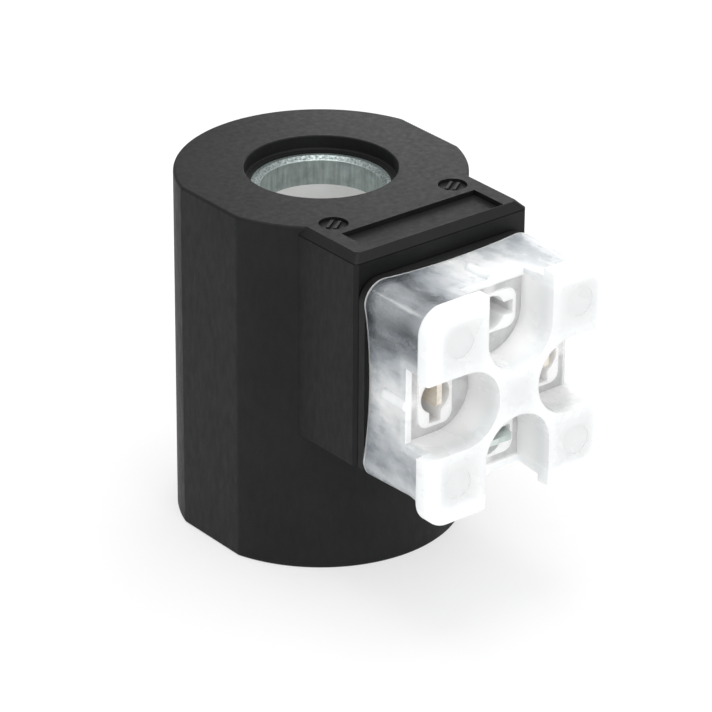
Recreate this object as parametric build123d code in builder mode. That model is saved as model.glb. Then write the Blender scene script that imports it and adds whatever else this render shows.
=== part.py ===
from build123d import *
import os

# Moulded coil for a solenoid cartridge valve, with its plug-side protective cap.
# The bore axis is +Z, the plug side faces -Y, and the origin is on the bore axis halfway up.
# All sizes are in millimetres.

# Play between pieces that the moulding holds together
FIT = 0.05

# Spool, winding and tape, from the bore outwards
BORE_RADIUS = 8.1
BOBBIN_WALL = 0.9
WINDING_BUILD = 5.55
TAPE_THICKNESS = 0.25
FLANGE_OVERHANG = 0.2
FLANGE_THICKNESS = 1.4

# Magnetic circuit: rolled yoke and two flux rings
YOKE_PLAY = 0.3
YOKE_WALL = 1.6
RING_THICKNESS = 4.0
RING_LEAD_IN = 0.5
RING_LEAD_IN_WIDTH = 0.65

# Moulding round the yoke, and the seats in the two mouths of the bore
HEIGHT = 50.0
BODY_WALL = 2.55
FLAT_WALL = 1.65
RIM_CHAMFER = 0.7
FOOT_CHAMFER = 0.4
SEAT_STEP = 2.16
SEAT_DEPTH = 2.0
SEAT_CHAMFER = 0.3
LIP_STEP = 1.2
LIP_THICKNESS = 0.2

# Plug boss on the front of the body
BOSS_REACH = 8.3
BOSS_MARGIN = 0.3
BOSS_ROOT = 7.0
BOSS_CHAMFER = 1.0

# Bare recess for a rating label and two round mould marks on the top
LABEL_MARGIN = 3.2
LABEL_LENGTH = 5.9
LABEL_SETBACK = 4.05
LABEL_DEPTH = 0.7
MARK_RADIUS = 1.95
MARK_INSET = 4.35
MARK_SETBACK = 10.05
MARK_DEPTH = 0.45

# Plug side: the square plate that the plug or the cap sits on, and the block behind it
PLUG_DEPTH = 17.25
PLATE_MARGIN = 5.0
PLATE_DROP = 12.55
PLATE_PROUD = 1.5
PLATE_CORNER = 3.0
PLATE_GROOVE = 0.3
CARRIER_SIDE = 3.0
CARRIER_SILL = 1.1
CARRIER_ROOF = 1.15
CARRIER_HEEL = 1.0

# Contact blades, with their reach in front of the plate; the line blades sit above the plug's centre
BLADE_THICKNESS = 0.8
BLADE_OFFSET = 9.0
LINE_BLADE_WIDTH = 4.8
LINE_BLADE_RISE = 1.15
LINE_BLADE_REACH = 9.0
GROUND_BLADE_WIDTH = 6.3
GROUND_BLADE_REACH = 9.6
TIP_CHAMFER = 0.4

# Line terminals inside the block: an upright tail and a leg that meets the lead
TAIL_CLEARANCE = 0.7
TAIL_WIDTH = 2.6
LEG_HEIGHT = 1.8
LEG_OVERLAP = 1.0
CHAMBER_PLAY = 0.5
CHAMBER_DEPTH = 1.1

# Ground strap between the ground blade and the yoke
STRAP_THICKNESS = 0.5
STRAP_LENGTH = 4.45
STRAP_HEIGHT = 6.8
STRAP_PLAY = 0.1

# Leads, their sleeving and the solder that joins them to the terminals
LEAD_X = 3.0
LEAD_RADIUS = 0.25
LEAD_SLOT_PLAY = 0.25
LEAD_NOTCH_PLAY = 0.9
LEAD_NOTCH_BELOW = 4.7
START_LEAD_INSET = 0.6
FINISH_LEAD_INSET = 0.4
SLEEVING_WALL = 0.3
SLEEVING_GAP = 0.2
SOLDER_LENGTH = 0.6
SOLDER_TIP_WALL = 0.15

# Screw insert in the middle of the plug side
SCREW_RADIUS = 1.5
SCREW_DEPTH = 6.0
INSERT_WALL = 0.7
INSERT_LENGTH = 7.0
INSERT_WAIST_DEPTH = 0.3
INSERT_WAIST_LENGTH = 1.2

# Protective cap, with distances in front of the plate
CAP_WALL = 1.0
CAP_CORNER = 3.0
RIM_OVERHANG = 0.1
RIM_SIDE_BOW = 0.9
RIM_TOP_BOW = 0.5
SKIRT_TAPER = 0.2
SKIRT_LENGTH = 8.2
FLOOR_RECESS = 0.4
FLOOR_THICKNESS = 0.55
POST_LENGTH = 5.93
POST_FLARE = 0.4
PAD_OVERHANG = 0.95
PAD_CORNER = 3.6
PAD_THICKNESS = 2.05
PAD_CHAMFER = 0.4
NOTCH_INSET = 0.45
ARM_WIDTH = 1.39

# Sleeves of the cap that slip over the blades
SLOT_PLAY = 0.55
SLOT_EYE_RADIUS = 2.35
SLEEVE_SIDE_WALL = 0.4
SLEEVE_END_WALL = 0.45
SLEEVE_CORNER = 1.5
SLEEVE_GAP = 0.5
RIB_RADIUS = 0.8
RIB_PROUD = 0.5
RIB_GAP = 2.9

# Radii worked out from the bore outwards
SPOOL_RADIUS = BORE_RADIUS + BOBBIN_WALL
WINDING_RADIUS = SPOOL_RADIUS + FIT + WINDING_BUILD
TAPE_RADIUS = WINDING_RADIUS + FIT + TAPE_THICKNESS
FLANGE_RADIUS = TAPE_RADIUS + FLANGE_OVERHANG
YOKE_BORE_RADIUS = FLANGE_RADIUS + YOKE_PLAY
YOKE_RADIUS = YOKE_BORE_RADIUS + YOKE_WALL
CAVITY_RADIUS = YOKE_RADIUS + FIT
BODY_RADIUS = CAVITY_RADIUS + BODY_WALL
FLAT_HALF_WIDTH = CAVITY_RADIUS + FLAT_WALL
LIP_RADIUS = BORE_RADIUS + LIP_STEP
SEAT_RADIUS = BORE_RADIUS + SEAT_STEP

# Heights, with the inside worked down from the top
TOP = HEIGHT / 2
BOTTOM = -TOP
SEAT_Z = TOP - SEAT_DEPTH
RING_TOP = SEAT_Z - LIP_THICKNESS
SPOOL_TOP = RING_TOP - RING_THICKNESS
WINDING_TOP = SPOOL_TOP - FLANGE_THICKNESS - FIT
LEAD_Z = SPOOL_TOP - FLANGE_THICKNESS + LEAD_RADIUS + FIT
PLUG_Z = TOP - PLUG_DEPTH
BOSS_FOOT = PLUG_Z - PLATE_DROP

# Distances in front of the bore axis
BOSS_FRONT = YOKE_RADIUS + BOSS_REACH
BOSS_BACK = YOKE_RADIUS - BOSS_ROOT
PLATE_FRONT = BOSS_FRONT + PLATE_PROUD
TAIL_BACK = YOKE_RADIUS + TAIL_CLEARANCE
TAIL_FRONT = TAIL_BACK + TAIL_WIDTH
LEG_BACK = TAIL_FRONT - BLADE_THICKNESS
CHAMBER_FRONT = TAIL_FRONT + CHAMBER_DEPTH
STRAP_FRONT = CAVITY_RADIUS + STRAP_LENGTH
GROUND_BACK = CAVITY_RADIUS + STRAP_THICKNESS
START_LEAD_RADIUS = SPOOL_RADIUS + START_LEAD_INSET
FINISH_LEAD_RADIUS = WINDING_RADIUS - FINISH_LEAD_INSET
SLEEVING_RADIUS = LEAD_RADIUS + FIT + SLEEVING_WALL
LEAD_END = LEG_BACK - SOLDER_LENGTH

# Widths and heights on the plug side, from the plug's centre
PLATE_HALF_WIDTH = BLADE_OFFSET + PLATE_MARGIN
BOSS_HALF_WIDTH = PLATE_HALF_WIDTH + BOSS_MARGIN
CARRIER_HALF_WIDTH = BLADE_OFFSET + CARRIER_SIDE
CARRIER_BACK = (YOKE_RADIUS**2 - CARRIER_HALF_WIDTH**2) ** 0.5 + CARRIER_HEEL
LINE_HALF_WIDTH = LINE_BLADE_WIDTH / 2
GROUND_HALF_WIDTH = GROUND_BLADE_WIDTH / 2
BLADE_HALF_THICKNESS = BLADE_THICKNESS / 2
GROUND_TOP_V = -BLADE_OFFSET + BLADE_HALF_THICKNESS
LEG_V = LEAD_Z - PLUG_Z
LEG_TOP_V = LEG_V + LEG_HEIGHT / 2
LEG_FOOT_V = LEG_V - LEG_HEIGHT / 2
CHAMBER_TOP_V = LEG_TOP_V + CHAMBER_PLAY
CARRIER_LOW_V = -BLADE_OFFSET - BLADE_HALF_THICKNESS - FIT - CARRIER_SILL
CARRIER_HIGH_V = CHAMBER_TOP_V + CARRIER_ROOF

INSERT_RADIUS = SCREW_RADIUS + INSERT_WALL

# Cap sizes that follow the plate and the blades
RIM_HALF_WIDTH = PLATE_HALF_WIDTH + RIM_OVERHANG
SKIRT_HALF_WIDTH = RIM_HALF_WIDTH - SKIRT_TAPER
POST_HALF_WIDTH = SKIRT_HALF_WIDTH + POST_FLARE
PAD_HALF_WIDTH = POST_HALF_WIDTH + PAD_OVERHANG
INSIDE_CORNER = CAP_CORNER - CAP_WALL
SKIRT_INSIDE = SKIRT_HALF_WIDTH - CAP_WALL
FLOOR_FRONT = SKIRT_LENGTH - FLOOR_RECESS
FLOOR_BACK = FLOOR_FRONT - FLOOR_THICKNESS
CAP_FRONT = SKIRT_LENGTH + POST_LENGTH
PAD_BACK = CAP_FRONT - PAD_THICKNESS
HUB_BACK = CAP_FRONT - CAP_WALL
NOTCH_CENTRE = BLADE_OFFSET - NOTCH_INSET
NOTCH_HALF_WIDTH = NOTCH_CENTRE / 2**0.5 - ARM_WIDTH / 2
NOTCH_OUTER_END = PAD_HALF_WIDTH + CAP_WALL
SLOT_WIDTH = GROUND_BLADE_WIDTH + 2 * SLOT_PLAY
SLOT_DEPTH = BLADE_THICKNESS + 2 * SLOT_PLAY
SLEEVE_WIDTH = SLOT_WIDTH + 2 * SLEEVE_END_WALL
SLEEVE_DEPTH = 2 * (SLOT_EYE_RADIUS + SLEEVE_SIDE_WALL)
QUARTER_TURNS = (0, 90, 180, 270)


def front_plane(distance):
    """The upright plane that far in front of the bore axis, centred on the plug, x right, y up."""
    return Plane(origin=(0, -distance, PLUG_Z), x_dir=(1, 0, 0), z_dir=(0, -1, 0))


def cap_plane(distance):
    """The same plane, that far in front of the plate."""
    return front_plane(PLATE_FRONT + distance)


def block(x_low, x_high, y_low, y_high):
    """A rectangle between two corners of the sketch."""
    with Locations(((x_low + x_high) / 2, (y_low + y_high) / 2)):
        Rectangle(x_high - x_low, y_high - y_low)


# Plug boss, with its three top edges chamfered
with BuildPart() as boss_block:
    with BuildSketch(Plane.XY.offset(BOSS_FOOT)):
        block(-BOSS_HALF_WIDTH, BOSS_HALF_WIDTH, -BOSS_FRONT, -BOSS_BACK)
    extrude(amount=TOP - BOSS_FOOT)
    top_edges = boss_block.faces().sort_by(Axis.Z)[-1].edges()
    chamfer(top_edges.sort_by(Axis.Y)[:-1], BOSS_CHAMFER)


# Black moulding round everything: body, boss, seats and the pocket for the terminal block
with BuildPart() as overmould_body:
    with BuildSketch(Plane.XY.offset(BOTTOM)):
        Circle(BODY_RADIUS)
        Rectangle(2 * FLAT_HALF_WIDTH, 2 * BODY_RADIUS, mode=Mode.INTERSECT)
    extrude(amount=HEIGHT)
    chamfer(overmould_body.edges().group_by(Axis.Z)[-1], RIM_CHAMFER)
    chamfer(overmould_body.edges().group_by(Axis.Z)[0], FOOT_CHAMFER)
    add(boss_block.part)
    Cylinder(CAVITY_RADIUS, 2 * RING_TOP, mode=Mode.SUBTRACT)
    Cylinder(LIP_RADIUS, HEIGHT, mode=Mode.SUBTRACT)
    # A seat in each mouth of the bore, chamfered round its floor
    seat_corner = SEAT_RADIUS - SEAT_CHAMFER
    seat_wall_end = SEAT_Z + SEAT_CHAMFER
    with BuildSketch(Plane.XZ):
        for end in (-1, 1):
            Polygon(
                (0, end * SEAT_Z),
                (seat_corner, end * SEAT_Z),
                (SEAT_RADIUS, end * seat_wall_end),
                (SEAT_RADIUS, end * TOP),
                (0, end * TOP),
                align=None,
            )
    revolve(axis=Axis.Z, mode=Mode.SUBTRACT)
    # Pocket for the block that holds the terminals
    pocket_half_width = CARRIER_HALF_WIDTH + FIT
    with BuildSketch(front_plane(BOSS_FRONT)):
        block(-pocket_half_width, pocket_half_width, CARRIER_LOW_V - FIT, CARRIER_HIGH_V + FIT)
    extrude(amount=CARRIER_BACK - FIT - BOSS_FRONT, mode=Mode.SUBTRACT)
    # Label recess and mould marks
    with BuildSketch(Plane.XY.offset(TOP)):
        with Locations((0, LABEL_SETBACK - BOSS_FRONT)):
            Rectangle(2 * (BOSS_HALF_WIDTH - LABEL_MARGIN), LABEL_LENGTH)
    extrude(amount=-LABEL_DEPTH, mode=Mode.SUBTRACT)
    mark_x = BOSS_HALF_WIDTH - MARK_INSET
    mark_y = MARK_SETBACK - BOSS_FRONT
    with BuildSketch(Plane.XY.offset(TOP)):
        with Locations((-mark_x, mark_y), (mark_x, mark_y)):
            Circle(MARK_RADIUS)
    extrude(amount=-MARK_DEPTH, mode=Mode.SUBTRACT)


# Steel ring under the upper seat, with its lead-in at the bore mouth
with BuildPart() as top_flux_ring:
    with BuildSketch(Plane.XZ):
        Polygon(
            (BORE_RADIUS, SPOOL_TOP),
            (YOKE_BORE_RADIUS - FIT, SPOOL_TOP),
            (YOKE_BORE_RADIUS - FIT, RING_TOP),
            (BORE_RADIUS + RING_LEAD_IN_WIDTH, RING_TOP),
            (BORE_RADIUS, RING_TOP - RING_LEAD_IN),
            align=None,
        )
    revolve(axis=Axis.Z)


# The same ring, turned over at the other end
with BuildPart() as bottom_flux_ring:
    mirror(top_flux_ring.part, about=Plane.XY)


# Rolled steel tube round the winding, notched at the top for the leads
with BuildPart() as yoke_sleeve:
    Cylinder(YOKE_RADIUS, 2 * RING_TOP)
    Cylinder(YOKE_BORE_RADIUS, 2 * RING_TOP, mode=Mode.SUBTRACT)
    notch_half_width = LEAD_X + SLEEVING_RADIUS + LEAD_NOTCH_PLAY
    with BuildSketch(Plane.XZ):
        block(-notch_half_width, notch_half_width, LEAD_Z - LEAD_NOTCH_BELOW, TOP)
    extrude(amount=CAVITY_RADIUS, mode=Mode.SUBTRACT)


# White spool: bore tube with two flanges, the upper one slotted for the leads
with BuildPart() as bobbin:
    Cylinder(SPOOL_RADIUS, 2 * SPOOL_TOP)
    flange_centre = SPOOL_TOP - FLANGE_THICKNESS / 2
    with Locations((0, 0, flange_centre), (0, 0, -flange_centre)):
        Cylinder(FLANGE_RADIUS, FLANGE_THICKNESS)
    Cylinder(BORE_RADIUS, 2 * SPOOL_TOP, mode=Mode.SUBTRACT)
    slot_half = LEAD_RADIUS + LEAD_SLOT_PLAY
    with BuildSketch(Plane.XY.offset(SPOOL_TOP)):
        for side, inner_end in ((-1, START_LEAD_RADIUS), (1, FINISH_LEAD_RADIUS)):
            centre = side * LEAD_X
            block(centre - slot_half, centre + slot_half, -FLANGE_RADIUS - FIT, slot_half - inner_end)
    extrude(amount=-FLANGE_THICKNESS, mode=Mode.SUBTRACT)


# Copper winding between the flanges
with BuildPart() as winding:
    Cylinder(WINDING_RADIUS, 2 * WINDING_TOP)
    Cylinder(SPOOL_RADIUS + FIT, 2 * WINDING_TOP, mode=Mode.SUBTRACT)


# Insulating tape round the winding
with BuildPart() as winding_tape:
    Cylinder(TAPE_RADIUS, 2 * WINDING_TOP)
    Cylinder(WINDING_RADIUS + FIT, 2 * WINDING_TOP, mode=Mode.SUBTRACT)


# Raised plate and the block behind it that holds the terminals
with BuildPart() as terminal_base:
    with BuildSketch(front_plane(BOSS_FRONT)) as plate_outline:
        block(-PLATE_HALF_WIDTH, PLATE_HALF_WIDTH, -PLATE_DROP, PLATE_HALF_WIDTH)
        fillet(plate_outline.vertices().group_by(Axis.Y)[-1], PLATE_CORNER)
    extrude(amount=PLATE_PROUD)
    chamfer(terminal_base.faces().sort_by(Axis.Y)[-1].edges(), PLATE_GROOVE)
    with BuildSketch(front_plane(BOSS_FRONT)):
        block(-CARRIER_HALF_WIDTH, CARRIER_HALF_WIDTH, CARRIER_LOW_V, CARRIER_HIGH_V)
    extrude(amount=CARRIER_BACK - BOSS_FRONT)
    Cylinder(CAVITY_RADIUS + FIT, HEIGHT, mode=Mode.SUBTRACT)
    # Blade slots right through the front
    line_slot_half = LINE_HALF_WIDTH + FIT
    ground_slot_half = GROUND_HALF_WIDTH + FIT
    slot_half_thickness = BLADE_HALF_THICKNESS + FIT
    with BuildSketch(cap_plane(0)):
        with Locations((-BLADE_OFFSET, LINE_BLADE_RISE), (BLADE_OFFSET, LINE_BLADE_RISE)):
            Rectangle(2 * slot_half_thickness, 2 * line_slot_half)
        with Locations((0, -BLADE_OFFSET)):
            Rectangle(2 * ground_slot_half, 2 * slot_half_thickness)
    extrude(amount=-PLATE_FRONT, mode=Mode.SUBTRACT)
    # Chamber at the back for the tails, their legs and the leads
    chamber_half = BLADE_HALF_THICKNESS + CHAMBER_PLAY
    with BuildSketch(front_plane(CHAMBER_FRONT)):
        for x in (-BLADE_OFFSET, BLADE_OFFSET):
            block(x - chamber_half, x + chamber_half, LINE_BLADE_RISE - line_slot_half, CHAMBER_TOP_V)
        block(-BLADE_OFFSET, BLADE_OFFSET, LEG_FOOT_V - CHAMBER_PLAY, CHAMBER_TOP_V)
    extrude(amount=-CHAMBER_FRONT, mode=Mode.SUBTRACT)
    # Room for the ground strap
    strap_half = GROUND_HALF_WIDTH + STRAP_PLAY
    strap_top_v = GROUND_TOP_V + STRAP_THICKNESS + STRAP_PLAY
    with BuildSketch(front_plane(STRAP_FRONT + STRAP_PLAY)):
        block(-strap_half, strap_half, -BLADE_OFFSET, strap_top_v)
    extrude(amount=-STRAP_FRONT, mode=Mode.SUBTRACT)
    with BuildSketch(front_plane(GROUND_BACK + STRAP_PLAY)):
        block(-strap_half, strap_half, -BLADE_OFFSET, GROUND_TOP_V + STRAP_HEIGHT + STRAP_PLAY)
    extrude(amount=-YOKE_RADIUS, mode=Mode.SUBTRACT)
    # Hole for the screw insert
    with BuildSketch(cap_plane(0)):
        Circle(INSERT_RADIUS + FIT)
    extrude(amount=-INSERT_LENGTH, mode=Mode.SUBTRACT)


def blade(half_width, reach, back, turn):
    """A flat contact blade lying along -Y, from back to its chamfered tip, turned about its own axis."""
    tip = PLATE_FRONT + reach
    with BuildSketch(Plane.XY.offset(-BLADE_HALF_THICKNESS)) as outline:
        block(-half_width, half_width, -tip, -back)
        chamfer(outline.vertices().group_by(Axis.Y)[0], TIP_CHAMFER)
    solid = extrude(outline.sketch, amount=BLADE_THICKNESS, mode=Mode.PRIVATE)
    return Rot(0, turn, 0) * solid


def line_terminal(side):
    """Brass line terminal: blade, upright tail and the leg that meets the lead."""
    x = side * BLADE_OFFSET
    inner, outer = x - side * BLADE_HALF_THICKNESS, x + side * BLADE_HALF_THICKNESS
    end = side * (LEAD_X - LEG_OVERLAP)
    with BuildPart() as terminal:
        place = Pos(x, 0, PLUG_Z + LINE_BLADE_RISE)
        add(place * blade(LINE_HALF_WIDTH, LINE_BLADE_REACH, TAIL_BACK, 90))
        with BuildSketch(front_plane(TAIL_BACK)):
            block(min(inner, outer), max(inner, outer), LINE_BLADE_RISE, LEG_TOP_V)
        extrude(amount=TAIL_WIDTH)
        with BuildSketch(front_plane(LEG_BACK)):
            block(min(end, outer), max(end, outer), LEG_FOOT_V, LEG_TOP_V)
        extrude(amount=BLADE_THICKNESS)
    return terminal.part


with BuildPart() as line_terminal_left:
    add(line_terminal(-1))
with BuildPart() as line_terminal_right:
    add(line_terminal(1))


# Plated ground blade, ending short of the yoke
with BuildPart() as ground_terminal:
    place = Pos(0, 0, PLUG_Z - BLADE_OFFSET)
    add(place * blade(GROUND_HALF_WIDTH, GROUND_BLADE_REACH, GROUND_BACK, 0))


# Steel strip from the top of the ground blade up along the yoke
with BuildPart() as ground_strap:
    with BuildSketch(front_plane(YOKE_RADIUS - STRAP_THICKNESS)):
        block(-GROUND_HALF_WIDTH, GROUND_HALF_WIDTH, GROUND_TOP_V, GROUND_TOP_V + STRAP_HEIGHT)
    extrude(amount=2 * STRAP_THICKNESS + FIT)
    with BuildSketch(front_plane(YOKE_RADIUS)):
        block(-GROUND_HALF_WIDTH, GROUND_HALF_WIDTH, GROUND_TOP_V, GROUND_TOP_V + STRAP_THICKNESS)
    extrude(amount=STRAP_FRONT - YOKE_RADIUS)
    Cylinder(CAVITY_RADIUS, HEIGHT, mode=Mode.SUBTRACT)


def lead(side, start):
    """Round wire from the winding out to the solder on the terminal's leg."""
    with BuildPart() as wire:
        with BuildSketch(front_plane(start)):
            with Locations((side * LEAD_X, LEG_V)):
                Circle(LEAD_RADIUS)
        extrude(amount=LEAD_END - start)
    return wire.part


def lead_sleeving(side):
    """Insulating tube over a lead where it crosses the yoke."""
    start = FLANGE_RADIUS + SLEEVING_GAP
    with BuildPart() as tube:
        with BuildSketch(front_plane(start)):
            with Locations((side * LEAD_X, LEG_V)):
                Circle(SLEEVING_RADIUS)
                Circle(LEAD_RADIUS + FIT, mode=Mode.SUBTRACT)
        extrude(amount=LEAD_END - 2 * FIT - start)
    return tube.part


def solder_joint(side):
    """Cone of solder between the end of a lead and the terminal's leg."""
    with BuildPart() as joint:
        with BuildSketch(front_plane(LEG_BACK)):
            with Locations((side * LEAD_X, LEG_V)):
                Circle(LEG_HEIGHT / 2 - FIT)
        with BuildSketch(front_plane(LEAD_END)):
            with Locations((side * LEAD_X, LEG_V)):
                Circle(LEAD_RADIUS + SOLDER_TIP_WALL)
        loft()
    return joint.part


with BuildPart() as start_lead:
    add(lead(-1, START_LEAD_RADIUS))
with BuildPart() as finish_lead:
    add(lead(1, FINISH_LEAD_RADIUS))
with BuildPart() as start_lead_sleeving:
    add(lead_sleeving(-1))
with BuildPart() as finish_lead_sleeving:
    add(lead_sleeving(1))
with BuildPart() as start_solder_joint:
    add(solder_joint(-1))
with BuildPart() as finish_solder_joint:
    add(solder_joint(1))


# Brass insert with a waist that the moulding grips, and a blind threaded hole
with BuildPart() as screw_insert:
    with BuildSketch(cap_plane(0)):
        Circle(INSERT_RADIUS)
    extrude(amount=-INSERT_LENGTH)
    with BuildSketch(cap_plane(-(INSERT_LENGTH + INSERT_WAIST_LENGTH) / 2)):
        Circle(INSERT_RADIUS)
        Circle(INSERT_RADIUS - INSERT_WAIST_DEPTH, mode=Mode.SUBTRACT)
    extrude(amount=INSERT_WAIST_LENGTH, mode=Mode.SUBTRACT)
    with BuildSketch(cap_plane(0)):
        Circle(SCREW_RADIUS)
    extrude(amount=-SCREW_DEPTH, mode=Mode.SUBTRACT)


def bowed_square(half, corner, side_bow, top_bow):
    """A square with round corners whose sides bow inwards at their middles."""
    flat = half - corner
    with BuildSketch() as outline:
        with BuildLine():
            for turn, bow in zip(QUARTER_TURNS, (side_bow, top_bow, side_bow, top_bow)):
                low = Vector(half, -flat).rotate(Axis.Z, turn)
                middle = Vector(half - bow, 0).rotate(Axis.Z, turn)
                high = Vector(half, flat).rotate(Axis.Z, turn)
                centre = Vector(flat, flat).rotate(Axis.Z, turn)
                if bow > 0:
                    ThreePointArc(low, middle, high)
                else:
                    Line(low, high)
                CenterArc(centre, corner, turn, 90)
        make_face()
    return outline.sketch


def rounded_square(half, corner):
    RectangleRounded(2 * half, 2 * half, corner)


def four_notches(growth, outer):
    """Four slots with round inner ends, one on each side, grown all round, out to outer."""
    half = NOTCH_HALF_WIDTH + growth
    for turn in QUARTER_TURNS:
        with Locations(Location((0, 0, 0), (0, 0, turn))):
            block(NOTCH_CENTRE, outer, -half, half)
            with Locations((NOTCH_CENTRE, 0)):
                Circle(half)


# Inside of the cap: a wide hollow behind the floors and narrower ones up the posts and the hub
with BuildPart() as cap_post_hollow:
    with BuildSketch(cap_plane(FLOOR_BACK)):
        rounded_square(SKIRT_INSIDE, INSIDE_CORNER)
    with BuildSketch(cap_plane(HUB_BACK)):
        rounded_square(POST_HALF_WIDTH - CAP_WALL, INSIDE_CORNER)
    loft()
    with BuildSketch(cap_plane(FLOOR_BACK)):
        four_notches(CAP_WALL, NOTCH_OUTER_END)
    extrude(amount=HUB_BACK - FLOOR_BACK, mode=Mode.SUBTRACT)

with BuildPart() as cap_skirt_hollow:
    with BuildSketch(cap_plane(0)):
        add(bowed_square(RIM_HALF_WIDTH - CAP_WALL, INSIDE_CORNER, RIM_SIDE_BOW, RIM_TOP_BOW))
    with BuildSketch(cap_plane(FLOOR_BACK)):
        add(bowed_square(SKIRT_INSIDE, INSIDE_CORNER, 0, 0))
    loft()


# Milky protective cap: bowed skirt, four notches, four corner posts with pads, four blade sleeves
with BuildPart() as terminal_cap:
    with BuildSketch(cap_plane(0)):
        add(bowed_square(RIM_HALF_WIDTH, CAP_CORNER, RIM_SIDE_BOW, RIM_TOP_BOW))
    with BuildSketch(cap_plane(SKIRT_LENGTH)):
        add(bowed_square(SKIRT_HALF_WIDTH, CAP_CORNER, 0, 0))
    loft()
    with BuildSketch(cap_plane(SKIRT_LENGTH)):
        rounded_square(SKIRT_HALF_WIDTH, CAP_CORNER)
    with BuildSketch(cap_plane(PAD_BACK)):
        rounded_square(POST_HALF_WIDTH, CAP_CORNER)
    loft()
    with BuildSketch(cap_plane(PAD_BACK)):
        rounded_square(PAD_HALF_WIDTH, PAD_CORNER)
    extrude(amount=PAD_THICKNESS)
    chamfer(terminal_cap.faces().sort_by(Axis.Y)[0].edges(), PAD_CHAMFER)
    add(cap_skirt_hollow.part, mode=Mode.SUBTRACT)
    add(cap_post_hollow.part, mode=Mode.SUBTRACT)
    # Notches: right through the wall in front, down to a thin floor inside
    with BuildSketch(cap_plane(SKIRT_LENGTH)):
        four_notches(0, NOTCH_OUTER_END)
    extrude(amount=POST_LENGTH, mode=Mode.SUBTRACT)
    with BuildSketch(cap_plane(FLOOR_FRONT)):
        four_notches(0, SKIRT_INSIDE)
    extrude(amount=FLOOR_RECESS, mode=Mode.SUBTRACT)
    # Sleeves, each tied to the skirt by a web
    with BuildSketch(cap_plane(SLEEVE_GAP)):
        with PolarLocations(BLADE_OFFSET, 4):
            RectangleRounded(SLEEVE_DEPTH, SLEEVE_WIDTH, SLEEVE_CORNER)
    extrude(amount=SKIRT_LENGTH - SLEEVE_GAP)
    with BuildSketch(cap_plane(RIB_GAP)):
        with PolarLocations((BLADE_OFFSET + SKIRT_HALF_WIDTH) / 2, 4):
            Rectangle(SKIRT_HALF_WIDTH - BLADE_OFFSET - CAP_WALL / 2, 2 * RIB_RADIUS)
    extrude(amount=FLOOR_FRONT - RIB_GAP)
    # Half-round ribs outside, in line with the webs
    with BuildSketch(cap_plane(RIB_GAP + RIB_RADIUS)):
        with PolarLocations(SKIRT_HALF_WIDTH + RIB_PROUD - RIB_RADIUS, 4):
            Circle(RIB_RADIUS)
    extrude(amount=SKIRT_LENGTH - RIB_GAP - RIB_RADIUS)
    # Slots for the blades, each with a round eye
    with BuildSketch(cap_plane(SLEEVE_GAP)):
        with PolarLocations(BLADE_OFFSET, 4):
            Rectangle(SLOT_DEPTH, SLOT_WIDTH)
            Circle(SLOT_EYE_RADIUS)
    extrude(amount=SKIRT_LENGTH - SLEEVE_GAP, mode=Mode.SUBTRACT)


pieces = {
    "overmould_body": overmould_body,
    "terminal_base": terminal_base,
    "top_flux_ring": top_flux_ring,
    "bottom_flux_ring": bottom_flux_ring,
    "yoke_sleeve": yoke_sleeve,
    "bobbin": bobbin,
    "winding": winding,
    "winding_tape": winding_tape,
    "line_terminal_left": line_terminal_left,
    "line_terminal_right": line_terminal_right,
    "ground_terminal": ground_terminal,
    "ground_strap": ground_strap,
    "start_lead": start_lead,
    "finish_lead": finish_lead,
    "start_lead_sleeving": start_lead_sleeving,
    "finish_lead_sleeving": finish_lead_sleeving,
    "start_solder_joint": start_solder_joint,
    "finish_solder_joint": finish_solder_joint,
    "screw_insert": screw_insert,
    "terminal_cap": terminal_cap,
}

os.makedirs("parts", exist_ok=True)
for name, piece in pieces.items():
    piece.part.label = name
    export_step(piece.part, f"parts/{name}.step")
    print(name, round(piece.part.volume, 2))
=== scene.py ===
# %% [markdown]
# A moulded valve coil and its milky cap
#
# The object is the coil of a hydraulic solenoid valve: black nylon moulded round a winding, with a
# bore for the valve's tube. Its plug side wears the see-through cap that protects the blades in
# transport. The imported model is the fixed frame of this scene. Everything is built round it in
# metres, on the same origin, so no piece has to be fitted by eye. Two pieces are modelled anew, the
# moulded body and the cap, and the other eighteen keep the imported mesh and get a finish.

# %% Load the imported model
import math

import bmesh
import bpy
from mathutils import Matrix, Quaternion, Vector


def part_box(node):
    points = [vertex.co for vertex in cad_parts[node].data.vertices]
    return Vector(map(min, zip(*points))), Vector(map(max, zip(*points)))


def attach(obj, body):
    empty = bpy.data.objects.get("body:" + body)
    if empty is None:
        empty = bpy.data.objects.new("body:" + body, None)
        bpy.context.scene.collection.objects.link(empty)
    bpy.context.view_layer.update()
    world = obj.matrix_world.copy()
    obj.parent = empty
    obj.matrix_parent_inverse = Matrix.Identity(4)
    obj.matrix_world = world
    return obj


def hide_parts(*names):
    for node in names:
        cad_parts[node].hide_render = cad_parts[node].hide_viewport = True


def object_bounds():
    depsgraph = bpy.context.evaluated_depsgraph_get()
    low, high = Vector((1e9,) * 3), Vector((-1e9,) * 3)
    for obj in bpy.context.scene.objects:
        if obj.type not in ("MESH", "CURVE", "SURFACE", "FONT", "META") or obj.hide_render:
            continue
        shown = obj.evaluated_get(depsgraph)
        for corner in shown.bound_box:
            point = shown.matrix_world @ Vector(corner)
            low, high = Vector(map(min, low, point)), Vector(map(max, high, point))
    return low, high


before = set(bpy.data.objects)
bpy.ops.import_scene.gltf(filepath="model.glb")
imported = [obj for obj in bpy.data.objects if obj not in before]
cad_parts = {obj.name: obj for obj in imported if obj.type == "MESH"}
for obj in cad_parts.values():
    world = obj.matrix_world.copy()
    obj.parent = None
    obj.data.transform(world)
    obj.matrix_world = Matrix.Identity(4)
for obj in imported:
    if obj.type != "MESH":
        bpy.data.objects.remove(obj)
cad_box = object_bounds()
MM = 0.001
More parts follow.
